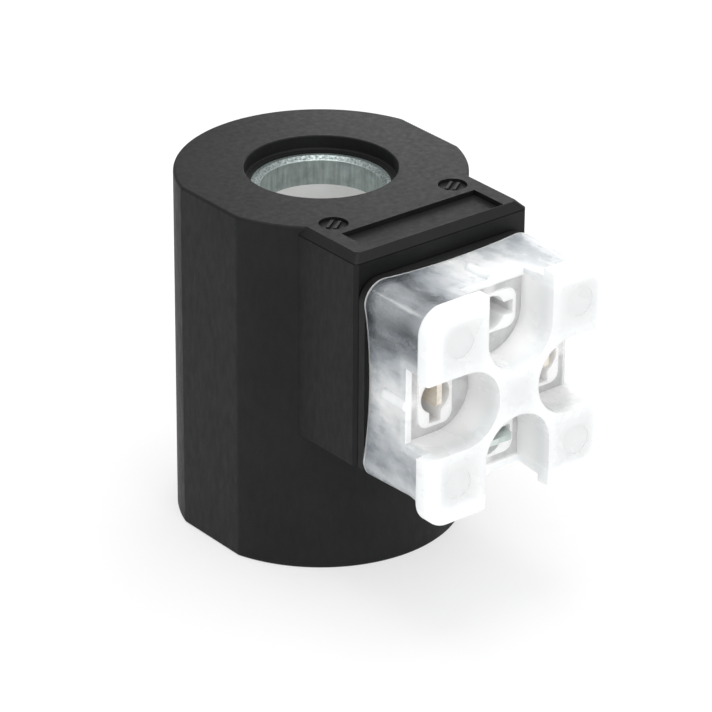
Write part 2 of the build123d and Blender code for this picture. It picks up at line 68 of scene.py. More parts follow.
print("CAD box in mm:", [[round(c / MM, 2) for c in corner] for corner in cad_box])

# %% [markdown]
# Camera
#
# The camera was found by fitting the photograph's outline of the round body and of the square cap.
# It is a long lens from above the front left corner, so the picture has little perspective.

# %% Camera at the photograph's angle
AZIMUTH = math.radians(-38.8)
ELEVATION = math.radians(26.418)
ROLL = math.radians(0.399)
CAMERA_DISTANCE = 563.5 * MM
LOOK_AT = Vector((6.158, 0.0, -4.935)) * MM
LENS = 208.89
SENSOR = 36.0

back = Vector(
    (
        math.sin(AZIMUTH) * math.cos(ELEVATION),
        -math.cos(AZIMUTH) * math.cos(ELEVATION),
        math.sin(ELEVATION),
    )
)
camera_data = bpy.data.cameras.new("camera")
camera_data.lens = LENS
camera_data.sensor_width = SENSOR
camera = bpy.data.objects.new("camera", camera_data)
camera.location = LOOK_AT + back * CAMERA_DISTANCE
camera.rotation_mode = "QUATERNION"
camera.rotation_quaternion = back.to_track_quat("Z", "Y") @ Quaternion((0, 0, 1), ROLL)
bpy.context.scene.collection.objects.link(camera)
bpy.context.scene.camera = camera
bpy.context.scene.view_settings.view_transform = "Standard"
print("camera at", [round(c / MM, 1) for c in camera.location], "mm")

# %% [markdown]
# Finishes
#
# Each finish is a node tree that starts from what the real material is. Five small tools are enough.
# They turn a hex colour into the linear numbers that the shader wants, add a node with its settings
# and links, start a finish, give blotches of a real size in millimetres, and let such a pattern
# change colour, roughness and relief. Patterns read Object coordinates, so they stay on the piece.

# %% Tools for node trees


def linear(hex_colour):
    """An sRGB colour such as "#1a1a1a" as linear red, green, blue and alpha."""
    channels = [int(hex_colour[i : i + 2], 16) / 255 for i in (1, 3, 5)]
    return [c / 12.92 if c <= 0.04045 else ((c + 0.055) / 1.055) ** 2.4 for c in channels] + [1.0]


def add_node(tree, kind, sockets=(), **settings):
    """A node with its settings. Sockets are given in order or by name, as values or as links."""
    made = tree.nodes.new(kind)
    for name, value in settings.items():
        setattr(made, name, value)
    pairs = sockets.items() if isinstance(sockets, dict) else enumerate(sockets)
    for socket, value in pairs:
        if isinstance(value, bpy.types.NodeSocket):
            tree.links.new(value, made.inputs[socket])
        else:
            made.inputs[socket].default_value = value
    return made


def new_finish(name, sockets):
    """A material with one Principled shader, and the coordinates that its patterns read."""
    material = bpy.data.materials.new(name)
    material.use_nodes = True
    tree = material.node_tree
    tree.nodes.clear()
    shader = add_node(tree, "ShaderNodeBsdfPrincipled", sockets)
    add_node(tree, "ShaderNodeOutputMaterial", [shader.outputs["BSDF"]])
    return material, add_node(tree, "ShaderNodeTexCoord").outputs["Object"]


# %% Tools for patterns
# Noise mostly stays between these two values
PALE, STRONG = 0.3, 0.7


def blotches(finish, place, size_mm, stretch=(1, 1, 1), detail=3.0, roughness=0.5):
    """Noise whose blotches are about size_mm across, drawn out along an axis by stretch."""
    tree = finish.node_tree
    scale = [1 / (size_mm * MM * s) for s in stretch]
    scaled = add_node(tree, "ShaderNodeMapping", {"Vector": place, "Scale": scale}).outputs[0]
    texture = {"Vector": scaled, "Scale": 1.0, "Detail": detail, "Roughness": roughness}
    return add_node(tree, "ShaderNodeTexNoise", texture).outputs["Fac"]


def lay_on(finish, pattern, colours=None, roughness=None, relief=None, low=PALE, high=STRONG):
    """Lets a pattern vary a finish: two colours, two roughnesses, or relief as depth and strength."""
    tree = finish.node_tree
    shader = tree.nodes["Principled BSDF"].inputs
    if colours or roughness:
        share = add_node(tree, "ShaderNodeMapRange", [pattern, low, high, 0.0, 1.0]).outputs[0]
    if colours:
        ends = {0: share, 6: linear(colours[0]), 7: linear(colours[1])}
        mixed = add_node(tree, "ShaderNodeMix", ends, data_type="RGBA")
        tree.links.new(mixed.outputs[2], shader["Base Color"])
    if roughness:
        mixed = add_node(tree, "ShaderNodeMix", {0: share, 2: roughness[0], 3: roughness[1]})
        tree.links.new(mixed.outputs[0], shader["Roughness"])
    if relief:
        depth_mm, strength = relief
        raised = {"Height": pattern, "Distance": depth_mm * MM, "Strength": strength}
        if shader["Normal"].is_linked:
            raised["Normal"] = shader["Normal"].links[0].from_socket
        tree.links.new(add_node(tree, "ShaderNodeBump", raised).outputs[0], shader["Normal"])


def finish_node(node, material):
    """Puts a finish on a CAD node's own mesh."""
    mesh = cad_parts[node].data
    mesh.materials.clear()
    mesh.materials.append(material)
    print(node, "is", material.name)


# %% [markdown]
# Black nylon
#
# The body and the plug plate are glass-filled nylon, injection moulded. The colour is almost black,
# and what the eye reads is the soft sheen: a fine grain from the mould, faint cloudy patches where
# glass fibres lie near the surface, and a shine that changes a little from place to place.

# %% Black moulded nylon
black_nylon, place = new_finish(
    "black glass-filled nylon, moulded", {"IOR": 1.5, "Specular IOR Level": 0.26}
)
clouds = blotches(black_nylon, place, 6.0, detail=4.0)
fibres = blotches(black_nylon, place, 0.9, stretch=(1, 1, 2.5), detail=5.0, roughness=0.6)
grain = blotches(black_nylon, place, 0.28, detail=2.0)
lay_on(black_nylon, clouds, colours=("#0b0c0c", "#121313"), relief=(0.04, 0.4))
lay_on(black_nylon, fibres, roughness=(0.52, 0.64))
lay_on(black_nylon, grain, relief=(0.03, 0.5))
finish_node("terminal_base", black_nylon)

# %% [markdown]
# Zinc-plated steel
#
# The flux rings, the yoke and the ground strap are steel, zinc plated in a barrel. The plating is a
# cool grey and quite rough. On the ring's wall the marks of drawing and plating run up and down.
# The last half millimetre is the chamfered lead-in. Its colour is painted darker than the wall, in
# bright and dark specks, as painted glitter and shade.

# %% Zinc-plated steel
LEAD_IN = 0.5 * MM
LEAD_IN_EDGE = 0.1 * MM

zinc_steel, place = new_finish("zinc-plated steel", {"Metallic": 1.0})
tree = zinc_steel.node_tree
patches = blotches(zinc_steel, place, 1.6, detail=4.0, roughness=0.6)
marks = blotches(zinc_steel, place, 0.45, stretch=(1, 1, 9))
glitter_specks = blotches(zinc_steel, place, 0.3, detail=4.0, roughness=0.7)
drawn = add_node(tree, "ShaderNodeMix", {0: 0.5, 2: patches, 3: marks}).outputs[0]
drawn = add_node(tree, "ShaderNodeMapRange", [drawn, PALE, STRONG, 0.4, 1.0]).outputs[0]
# Painted glitter and shade: the lead-in's colour runs darker than the wall's, in bright and dark specks
painted_glitter = add_node(tree, "ShaderNodeMapRange", [glitter_specks, PALE, STRONG, 0.0, 0.75]).outputs[0]
height = add_node(tree, "ShaderNodeSeparateXYZ", [place]).outputs["Z"]
height = add_node(tree, "ShaderNodeMath", [height], operation="ABSOLUTE").outputs[0]
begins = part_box("top_flux_ring")[1].z - LEAD_IN
limits = [height, begins, begins + LEAD_IN_EDGE, 0.0, 1.0]
in_lead_in = add_node(tree, "ShaderNodeMapRange", limits).outputs[0]
tone = add_node(tree, "ShaderNodeMix", {0: in_lead_in, 2: drawn, 3: painted_glitter}).outputs[0]
lay_on(zinc_steel, tone, ("#4b5352", "#d3dfdd"), (0.6, 0.36), low=0.0, high=1.0)
lay_on(zinc_steel, marks, relief=(0.03, 0.5))
for node in ("top_flux_ring", "bottom_flux_ring", "yoke_sleeve", "ground_strap"):
    finish_node(node, zinc_steel)

# %% [markdown]
# White nylon
#
# The spool that carries the winding is natural white nylon. Its wall shows deep in the bore, bright
# and satin, and a little light goes into it.

# %% White nylon
white_nylon, place = new_finish(
    "natural white nylon, moulded",
    {
        "Roughness": 0.42,
        "IOR": 1.53,
        "Subsurface Weight": 0.3,
        "Subsurface Radius": (0.6 * MM, 0.6 * MM, 0.5 * MM),
        "Subsurface Scale": 1.0,
    },
)
lay_on(white_nylon, blotches(white_nylon, place, 4.0), colours=("#f6f6f3", "#ffffff"))
lay_on(white_nylon, blotches(white_nylon, place, 0.4), relief=(0.01, 0.3))
finish_node("bobbin", white_nylon)

# %% [markdown]
# Brass and passivated steel
#
# The line blades and the screw insert are brass with a thin flash of tin, so they look pale and
# warm, with faint rolling lines. The ground blade is steel with blue passivated zinc, a cool
# silver with soft patches.

# %% Brass and passivated steel
brass, place = new_finish("stamped brass, tin flashed", {"Metallic": 1.0})
rolled = blotches(brass, place, 0.5, stretch=(1, 6, 1), detail=4.0)
lay_on(brass, rolled, ("#e9e0d2", "#fbf7f0"), (0.6, 0.75), (0.01, 0.4))
for node in ("line_terminal_left", "line_terminal_right", "screw_insert"):
    finish_node(node, brass)

blue_zinc, place = new_finish("blue passivated zinc on steel", {"Metallic": 1.0})
patches = blotches(blue_zinc, place, 1.2, detail=4.0)
lay_on(blue_zinc, patches, ("#c3cfcc", "#e6ecea"), (0.36, 0.5))
finish_node("ground_terminal", blue_zinc)

# %% [markdown]
# What lies inside
#
# The moulding closes in the winding, its tape, the leads in their sleeving and the solder. They get
# the finish that the real ones have: glossy copper in bands of turns, wrinkled yellow tape, woven
# red sleeving and bright solder with a frost on it.

# %% Copper, tape, sleeving and solder
BAND_SCALE = 200.0

copper, place = new_finish(
    "enamelled copper wire", {"Metallic": 1.0, "Roughness": 0.25, "Coat Weight": 0.6}
)
bands = {"Vector": place, "Scale": BAND_SCALE, "Distortion": 0.3}
turns = add_node(copper.node_tree, "ShaderNodeTexWave", bands, bands_direction="Z").outputs["Fac"]
lay_on(copper, turns, colours=("#8a4120", "#c9703c"), relief=(0.1, 0.8))
for node in ("winding", "start_lead", "finish_lead"):
    finish_node(node, copper)

tape, place = new_finish("yellow polyester tape", {"Roughness": 0.3})
wrinkles = blotches(tape, place, 2.0, stretch=(1, 1, 4))
lay_on(tape, wrinkles, colours=("#c9a62f", "#dcc04a"), relief=(0.08, 0.5))
finish_node("winding_tape", tape)

sleeving, place = new_finish("red varnished glass sleeving", {"Roughness": 0.45})
weave = blotches(sleeving, place, 0.25, stretch=(1, 2, 1))
lay_on(sleeving, weave, colours=("#7d1a16", "#b0302a"), relief=(0.05, 0.6))
for node in ("start_lead_sleeving", "finish_lead_sleeving"):
    finish_node(node, sleeving)

solder, place = new_finish("bright tin solder", {"Metallic": 1.0})
frost = blotches(solder, place, 0.4, detail=4.0)
lay_on(solder, frost, ("#b9bab8", "#dcdcda"), (0.18, 0.36))
for node in ("start_solder_joint", "finish_solder_joint"):
    finish_node(node, solder)

# %% [markdown]
# Milky polyethylene
#
# The cap is thin low-density polyethylene without pigment. The eye sees grey through it where one
# thin wall stands before the black plug, and white where walls cross, where it is thick and where a
# cut edge gathers light. True scattering in such thin walls takes very many samples. So the finish
# works out by place how much of what lies behind is covered, and that share is the shader's Alpha.
# A wall has two surfaces, so the share counts twice.
# Painted light also makes the cap whiter to the right, towards the bottom and deep inside.

# %% Start of the milky finish
SCATTER = 1.2 * MM

milky, place = new_finish(
    "natural polyethylene, milky",
    {
        "IOR": 1.5,
        "Subsurface Weight": 0.9,
        "Subsurface Scale": 1.0,
        "Subsurface Radius": [SCATTER] * 3,
    },
)
tree = milky.node_tree
low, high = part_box("terminal_cap")
front, rim, half = low.y, high.y, high.x
middle = (0, 0, (low.z + high.z) / 2)
flow = blotches(milky, place, 4.5, stretch=(1, 2, 1), detail=6.0, roughness=0.62)
print("cap from", round(front / MM, 2), "to", round(rim / MM, 2), "mm")

# %% Where a point of the cap lies, and which way it faces
offset = add_node(tree, "ShaderNodeVectorMath", [place, middle], operation="SUBTRACT").outputs[0]
lie = add_node(tree, "ShaderNodeSeparateXYZ", [offset]).outputs
across = add_node(tree, "ShaderNodeVectorMath", [offset], operation="ABSOLUTE").outputs[0]
sides = add_node(tree, "ShaderNodeSeparateXYZ", [across]).outputs
pair = [sides["X"], sides["Z"]]
outermost = add_node(tree, "ShaderNodeMath", pair, operation="MAXIMUM").outputs[0]
nearest = add_node(tree, "ShaderNodeMath", pair, operation="MINIMUM").outputs[0]
normal = add_node(tree, "ShaderNodeTexCoord").outputs["Normal"]
faces = add_node(tree, "ShaderNodeSeparateXYZ", [normal]).outputs["Y"]
print("the cap reaches", round(half / MM, 2), "mm to each side")

# %% Cover of the skirt: clearest at its rim and corners, cloudy, and painted light that makes it whiter to the right and towards the bottom
FRONT_COVER, RIM_COVER = 0.94, 0.68
CLOUD_COVER = 0.24
WEB_COVERS, CORNER_CLEARS = 0.3, 0.2
# Painted light: the skirt is drawn whiter to the right, where light falls from behind, and towards the
# bottom, lit by the pale table
PAINTED_LIGHT_RIGHT = 0.42
PAINTED_LIGHT_BELOW = 0.3

skirt = add_node(tree, "ShaderNodeMapRange", [lie["Y"], front, rim, FRONT_COVER, RIM_COVER]).outputs[0]
for change in (
    [flow, PALE, STRONG, -CLOUD_COVER, CLOUD_COVER],
    [nearest, 2 * MM, 10 * MM, WEB_COVERS, -CORNER_CLEARS],
    [lie["X"], -half, half, -PAINTED_LIGHT_RIGHT, PAINTED_LIGHT_RIGHT],
    [lie["Z"], -half, half, PAINTED_LIGHT_BELOW, -PAINTED_LIGHT_BELOW],
):
    part = add_node(tree, "ShaderNodeMapRange", change).outputs[0]
    skirt = add_node(tree, "ShaderNodeMath", [skirt, part], operation="ADD").outputs[0]
print("the skirt covers", RIM_COVER, "at its rim and", FRONT_COVER, "in front")

# %% White in the skirt: the pads, and the cut edges that face forward
PAD_THICKNESS = 2.0 * MM
PAD_FADE = 0.3 * MM
EDGE_COVER = 0.9

pad_back = front + PAD_THICKNESS
for whiter in (
    [lie["Y"], pad_back, pad_back + PAD_FADE, 1.0, 0.0],
    [faces, -0.8, -0.4, EDGE_COVER, 0.0],
):
    share = add_node(tree, "ShaderNodeMapRange", whiter).outputs[0]
    skirt = add_node(tree, "ShaderNodeMix", {0: share, 2: skirt, 3: 1.0}).outputs[0]
print("pads end at y", round(pad_back / MM, 2), "mm")

# %% Cover inside the skirt: white walls, and thin floors that let the black plate show
HUB_COVER, INSIDE_COVER = 0.84, 1.0
HUB_DEPTH = 5 * MM
FLOOR_PLACE = rim - 7.55 * MM
FLOOR_NEAR = 0.4 * MM
FLOOR_COVER, FLOOR_MOTTLE = 0.66, 0.1

depths = [lie["Y"], front, front + HUB_DEPTH, HUB_COVER, INSIDE_COVER]
inside = add_node(tree, "ShaderNodeMapRange", depths).outputs[0]
level = [lie["Y"], FLOOR_PLACE, FLOOR_NEAR]
level = add_node(tree, "ShaderNodeMath", level, operation="COMPARE").outputs[0]
flat = add_node(tree, "ShaderNodeMath", [faces], operation="ABSOLUTE").outputs[0]
flat = add_node(tree, "ShaderNodeMapRange", [flat, 0.4, 0.8, 0.0, 1.0]).outputs[0]
on_floor = add_node(tree, "ShaderNodeMix", {0: level, 2: 0.0, 3: flat}).outputs[0]
mottled = [flow, PALE, STRONG, FLOOR_COVER - FLOOR_MOTTLE, FLOOR_COVER + FLOOR_MOTTLE]
mottled = add_node(tree, "ShaderNodeMapRange", mottled).outputs[0]
inside = add_node(tree, "ShaderNodeMix", {0: on_floor, 2: inside, 3: mottled}).outputs[0]
print("thin floors cover", FLOOR_COVER, "at y", round(FLOOR_PLACE / MM, 2), "mm")

# %% Both parts together, then a painted highlight on the cut rim, and white for every thick place
SKIRT_BEGINS, SKIRT_FULL = half - 2.6 * MM, half - 1.9 * MM
CUT_EDGE = 0.4 * MM
RIM_HIGHLIGHT = 0.8
LOOKS_THICK = 2.2 * MM

limits = [outermost, SKIRT_BEGINS, SKIRT_FULL, 0.0, 1.0]
in_skirt = add_node(tree, "ShaderNodeMapRange", limits).outputs[0]
cover = add_node(tree, "ShaderNodeMix", {0: in_skirt, 2: inside, 3: skirt}).outputs[0]
reach = {"Distance": LOOKS_THICK}
inward = {"inside": True, "only_local": True, "samples": 6}
thickness = add_node(tree, "ShaderNodeAmbientOcclusion", reach, **inward).outputs["AO"]
for whiter in (
    # Painted highlight: the cut rim is drawn white where it gathers light
    [lie["Y"], rim - CUT_EDGE, rim - CUT_EDGE / 3, 0.0, RIM_HIGHLIGHT],
    [thickness, 0.2, 0.6, 0.0, 1.0],
):
    share = add_node(tree, "ShaderNodeMapRange", whiter).outputs[0]
    cover = add_node(tree, "ShaderNodeMix", {0: share, 2: cover, 3: 1.0}).outputs[0]
tree.links.new(cover, tree.nodes["Principled BSDF"].inputs["Alpha"])
print("cover from", len(tree.links), "links")

# %% Colour and shine: bluish where it is thin, and painted light that makes it whitest deep inside
PAINTED_LIGHT_FROM, PAINTED_LIGHT_TO = front + 2 * MM, front + 4 * MM

thin = add_node(tree, "ShaderNodeMapRange", [cover, 0.3, 0.85, 0.0, 1.0]).outputs[0]
painted_light_depth = add_node(tree, "ShaderNodeMapRange", [lie["Y"], PAINTED_LIGHT_FROM, PAINTED_LIGHT_TO, 0.0, 1.0]).outputs[0]
milk = linear("#f2f5f7")
outside = {0: thin, 6: linear("#d3dde8"), 7: milk}
outside = add_node(tree, "ShaderNodeMix", outside, data_type="RGBA").outputs[2]
# Painted light: deeper inside the cap the colour turns pure white, to lift the shade in the notches and
# sleeves
painted_light_inside = {0: painted_light_depth, 6: milk, 7: linear("#ffffff")}
painted_light_inside = add_node(tree, "ShaderNodeMix", painted_light_inside, data_type="RGBA").outputs[2]
both = {0: in_skirt, 6: painted_light_inside, 7: outside}
colour = add_node(tree, "ShaderNodeMix", both, data_type="RGBA").outputs[2]
tree.links.new(colour, tree.nodes["Principled BSDF"].inputs["Base Color"])
lay_on(milky, flow, roughness=(0.22, 0.34))
print("milky finish has", len(tree.nodes), "nodes")

# %% [markdown]
# How the pieces are shaped
#
# New pieces start as primitives, are shaped in edit mode, and are cut and joined with modifiers that
# are applied at once. They are drawn in millimetres, because Blender's own tolerances suit numbers
# of that size, and the finished piece is shrunk into the frame, with its place in its mesh.

# %% Tools for one object at a time


def pick(obj):
    """Selects one object alone and makes it the active one."""
    bpy.ops.object.select_all(action="DESELECT")
    obj.select_set(True)
    bpy.context.view_layer.objects.active = obj


def settle(obj):
    """Moves an object's place, turn and scale into its mesh."""
    pick(obj)
    bpy.ops.object.transform_apply(location=True, rotation=True, scale=True)
    return obj


# %% Tools for modifiers, cuts and unions


def modify(obj, kind, **settings):
    """Adds a modifier and applies it."""
    pick(obj)
    modifier = obj.modifiers.new(kind.lower(), kind)
    for name, value in settings.items():
        setattr(modifier, name, value)
    bpy.ops.object.modifier_apply(modifier=modifier.name)


def combine(obj, tool, operation):
    """Unites an object with a tool shape, or cuts it away, and uses the tool up."""
    modify(obj, "BOOLEAN", object=tool, operation=operation, solver="EXACT")
    bpy.data.objects.remove(tool, do_unlink=True)


# %% Tools for edit mode
# Points that are closer than this lie at one height
NEAR = 0.01


def edit_selection(obj, element, test):
    """Enters edit mode with the vertices, edges or faces selected that pass the test."""
    pick(obj)
    bpy.ops.object.mode_set(mode="EDIT")
    bpy.ops.mesh.select_mode(type=element)
    bpy.ops.mesh.select_all(action="DESELECT")
    mesh = bmesh.from_edit_mesh(obj.data)
    for part in {"VERT": mesh.verts, "EDGE": mesh.edges, "FACE": mesh.faces}[element]:
        if test(part):
            part.select_set(True)
    mesh.select_flush_mode()
    bmesh.update_edit_mesh(obj.data)


def leave_edit():
    """Goes back to object mode."""
    bpy.ops.object.mode_set(mode="OBJECT")


def lies_at(height):
    """A test for edges that lie at that height."""
    return lambda edge: all(abs(v.co.z - height) < NEAR for v in edge.verts)


def round_edges(obj, test, width, steps):
    """Rounds the edges that pass the test, or chamfers them with one step."""
    edit_selection(obj, "EDGE", test)
    bpy.ops.mesh.bevel(offset=width, segments=steps, affect="EDGES")
    leave_edit()


# %% Tools for drums and blocks
# A cutter reaches this far past the surface that it cuts
PAST = 1.0


def drum(radius, low, high, place=(0, 0), steps=96):
    """An upright cylinder between two heights."""
    bpy.ops.object.select_all(action="DESELECT")
    bpy.ops.mesh.primitive_cylinder_add(
        vertices=steps, radius=radius, depth=high - low, location=(*place, (low + high) / 2)
    )
    return settle(bpy.context.object)


def brick(low, high):
    """A block between its lowest and highest corners."""
    low, high = Vector(low), Vector(high)
    bpy.ops.object.select_all(action="DESELECT")
    bpy.ops.mesh.primitive_cube_add(size=1, location=(low + high) / 2)
    bpy.context.object.scale = high - low
    return settle(bpy.context.object)


def flare(obj, height, width):
    """Widens the top of a cutter from a height upwards, so that the rim it cuts is chamfered."""
    top = max(v.co.z for v in obj.data.vertices)
    low = Vector([min(v.co[axis] for v in obj.data.vertices) for axis in range(3)])
    high = Vector([max(v.co[axis] for v in obj.data.vertices) for axis in range(3)])
    middle, size = (low + high) / 2, high - low
    middle.z = top
    edit_selection(obj, "FACE", lambda face: all(v.co.z > top - NEAR for v in face.verts))
    bpy.ops.transform.translate(value=(0, 0, height - top))
    bpy.ops.mesh.extrude_region_move(TRANSFORM_OT_translate={"value": (0, 0, width)})
    grow = [(size[axis] + 2 * width) / size[axis] for axis in range(2)]
    bpy.ops.transform.resize(value=(*grow, 1), center_override=middle)
    bpy.ops.mesh.extrude_region_move(TRANSFORM_OT_translate={"value": (0, 0, PAST)})
    leave_edit()
    return obj


# %% Tools for finishing a piece
SMOOTH_BELOW = math.radians(32)


def report_mesh(obj):
    """Prints how many faces a mesh has, and how many edges lack one of their two faces."""
    mesh = bmesh.new()
    mesh.from_mesh(obj.data)
    loose = sum(1 for edge in mesh.edges if len(edge.link_faces) != 2)
    print(obj.name, "has", len(mesh.faces), "faces and", loose, "open edges")
    mesh.free()


def finish_shape(obj, name, material, body, node, weighted=True):
    """Shrinks a piece into the frame, shades it and lets it stand for a CAD node."""
    obj.scale = (MM, MM, MM)
    settle(obj)
    bpy.ops.object.shade_smooth_by_angle(angle=SMOOTH_BELOW)
    if weighted:
        modify(obj, "WEIGHTED_NORMAL", keep_sharp=True)
    obj.name = name
    obj.data.name = name
    obj.data.materials.clear()
    obj.data.materials.append(material)
    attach(obj, body)
    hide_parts(node)
    report_mesh(obj)


def millimetres(node):
    """The lowest and highest corners of a CAD node, in millimetres."""
    return [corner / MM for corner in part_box(node)]


# %% [markdown]
# The black body
#
# A drum with two flats, a block on its front for the plug, and a bore with a shallow seat at each
# end. The rims are crisp, with a small rounding. The mould leaves a thin witness line round the
# block where its halves meet, two round marks and a label recess. The marks hold plain bars, and
# the recess is bare. All of it is cut and joined from plain drums and blocks, as the mould was.

# %% Sizes of the body, from the frame
body_low, body_high = millimetres("overmould_body")
plate_low, plate_high = millimetres("terminal_base")
yoke_low, yoke_high = millimetres("yoke_sleeve")
FLAT = body_high.x
DRUM_RADIUS = body_high.y
BOSS_FRONT = -body_low.y
BOSS_MARGIN = 0.3
BOSS_HALF = plate_high.x + BOSS_MARGIN
BOSS_BACK = 10.0
TOP = body_high.z
BOTTOM = body_low.z
RIM_ROUND = 0.4
BOSS_CHAMFER = 1.0
CORNER_CHAMFER = 0.45
print("body", 2 * DRUM_RADIUS, "mm round and", TOP - BOTTOM, "mm tall, plug face at", BOSS_FRONT)

# %% Drum with its flats and rims
body = drum(DRUM_RADIUS, BOTTOM, TOP, steps=192)
for side in (-1, 1):
    edit_selection(body, "FACE", lambda face: True)
    bpy.ops.mesh.bisect(
        plane_co=(side * FLAT, 0, 0), plane_no=(side, 0, 0), use_fill=True, clear_outer=True
    )
    leave_edit()
round_edges(body, lies_at(TOP), RIM_ROUND, 6)
round_edges(body, lies_at(BOTTOM), RIM_ROUND, 3)
print("drum has", len(body.data.polygons), "faces")

# %% Plug block on the front
boss = brick((-BOSS_HALF, -BOSS_FRONT, plate_low.z), (BOSS_HALF, -BOSS_BACK, TOP))


def outer_top(edge):
    """The top edges of the plug block, without the one inside the drum."""
    on_top = all(v.co.z > TOP - NEAR for v in edge.verts)
    return on_top and any(v.co.y < -BOSS_BACK - NEAR for v in edge.verts)


def front_corner(edge):
    """The two upright edges at the front, and the slanting ones above them."""
    first, second = edge.verts
    rises = abs(first.co.z - second.co.z) > BOSS_CHAMFER / 2
    return rises and max(first.co.y, second.co.y) < -BOSS_FRONT + 1.5 * BOSS_CHAMFER


round_edges(boss, outer_top, BOSS_CHAMFER, 1)
round_edges(boss, front_corner, CORNER_CHAMFER, 1)
combine(body, boss, "UNION")
print("with the plug block", len(body.data.polygons), "faces")

# %% [markdown]
# Bore and hollows
#
# The bore has a lip at each end that holds the steel rings, and outside the lip a shallow seat for
# the valve's seals. One seat is a drum with a rounded foot and a flared top, cut from above and,
# turned over, from below. Two more cuts make room for the yoke and for the block of the
# terminals, because the pieces inside are real and mustn't sink into the nylon.

# %% Bore, seats and the hollows that hold the insides
LIP_RADIUS = 9.3
SEAT_RADIUS = 10.26
SEAT_DEPTH = 2.0
SEAT_ROUND = 0.3
SEAT_CHAMFER = 0.12
PLAY = 0.05
TERMINAL_LOW = (-12.05, -BOSS_FRONT - PAST, -2.85)
TERMINAL_HIGH = (12.05, -13.0, 20.3)

combine(body, drum(LIP_RADIUS, BOTTOM - PAST, TOP + PAST, steps=128), "DIFFERENCE")
for turn in (0, math.pi):
    seat = drum(SEAT_RADIUS, TOP - SEAT_DEPTH, TOP + PAST, steps=128)
    round_edges(seat, lies_at(TOP - SEAT_DEPTH), SEAT_ROUND, 3)
    flare(seat, TOP - SEAT_CHAMFER, SEAT_CHAMFER)
    seat.rotation_euler.x = turn
    combine(body, settle(seat), "DIFFERENCE")
combine(body, drum(yoke_high.x + PLAY, yoke_low.z, yoke_high.z, steps=128), "DIFFERENCE")
combine(body, brick(TERMINAL_LOW, TERMINAL_HIGH), "DIFFERENCE")
print("hollowed,", len(body.data.polygons), "faces")

# %% [markdown]
# What the mould leaves on the body
#
# A label recess lies along the front of the top. A hair-thin line runs round the plug block where
# the halves of the mould met, and two round inserts of the mould left shallow wells. These small
# things catch the light at their edges, and so they are cut for real and not drawn as relief.

# %% Label recess
LABEL_DEPTH = 0.7
LABEL_HALF_WIDTH = 2.95
LABEL_BEHIND_FACE = 4.05
LABEL_TO_SIDE = 3.2

label_y = LABEL_BEHIND_FACE - BOSS_FRONT
label_half = BOSS_HALF - LABEL_TO_SIDE
label_low = (-label_half, label_y - LABEL_HALF_WIDTH, TOP - LABEL_DEPTH)
label_high = (label_half, label_y + LABEL_HALF_WIDTH, TOP + PAST)
combine(body, brick(label_low, label_high), "DIFFERENCE")
print("label recess", 2 * label_half, "by", 2 * LABEL_HALF_WIDTH, "mm")

# %% Witness line round the plug block
LINE_DEPTH = 0.15
LINE_HEIGHT = 0.12
DRUM_MEETS = -13.5

line_z = TOP - BOSS_CHAMFER
for low_x, high_x, high_y in (
    (-BOSS_HALF - PAST, BOSS_HALF + PAST, -BOSS_FRONT + LINE_DEPTH),
    (-BOSS_HALF - PAST, -BOSS_HALF + LINE_DEPTH, DRUM_MEETS),
    (BOSS_HALF - LINE_DEPTH, BOSS_HALF + PAST, DRUM_MEETS),
):
    line = brick((low_x, -BOSS_FRONT - PAST, line_z - LINE_HEIGHT), (high_x, high_y, line_z))
    combine(body, line, "DIFFERENCE")
print("witness line at z", round(line_z, 2), "mm")

# %% Two round mould marks with plain bars
MARK_RADIUS = 1.95
MARK_DEPTH = 0.45
MARK_TO_SIDE = 4.35
MARK_BEHIND_FACE = 10.05
BAR_HALF_LENGTH = 1.2
BAR_HALF_WIDTH = 0.2
BAR_OFFSET = 0.5
BAR_BELOW_TOP = 0.1
BAR_TURN = math.radians(35)

mark_x = BOSS_HALF - MARK_TO_SIDE
mark_y = MARK_BEHIND_FACE - BOSS_FRONT
for side in (-1, 1):
    well = drum(MARK_RADIUS, TOP - MARK_DEPTH, TOP + PAST, (side * mark_x, mark_y), 48)
    combine(body, well, "DIFFERENCE")
    for offset in (-BAR_OFFSET, BAR_OFFSET):
        bar_low = (-BAR_HALF_LENGTH, offset - BAR_HALF_WIDTH, TOP - 2 * MARK_DEPTH)
        bar = brick(bar_low, (BAR_HALF_LENGTH, offset + BAR_HALF_WIDTH, TOP - BAR_BELOW_TOP))
        bar.rotation_euler.z = BAR_TURN
        bar.location = (side * mark_x, mark_y, 0)
        combine(body, settle(bar), "UNION")
print("marks at x", round(mark_x, 2), "and y", round(mark_y, 2), "mm")

# %% The body takes its place
finish_shape(body, "moulded_body", black_nylon, "coil", "overmould_body")

# %% [markdown]
# The protective cap
#
# The cap is one thin moulding. Its skirt bows in at the rim, four notches cut its front to a cross,
# four hollow corner posts end in pads for the fingers, and four sleeves inside slip over the
# blades. The outside is drawn out through rings, as a round-cornered square that grows, and then
# it is hollowed and notched. It is drawn lying on its back, x across, y up the coil and z away
# from the plug, and turned into place when it is done.

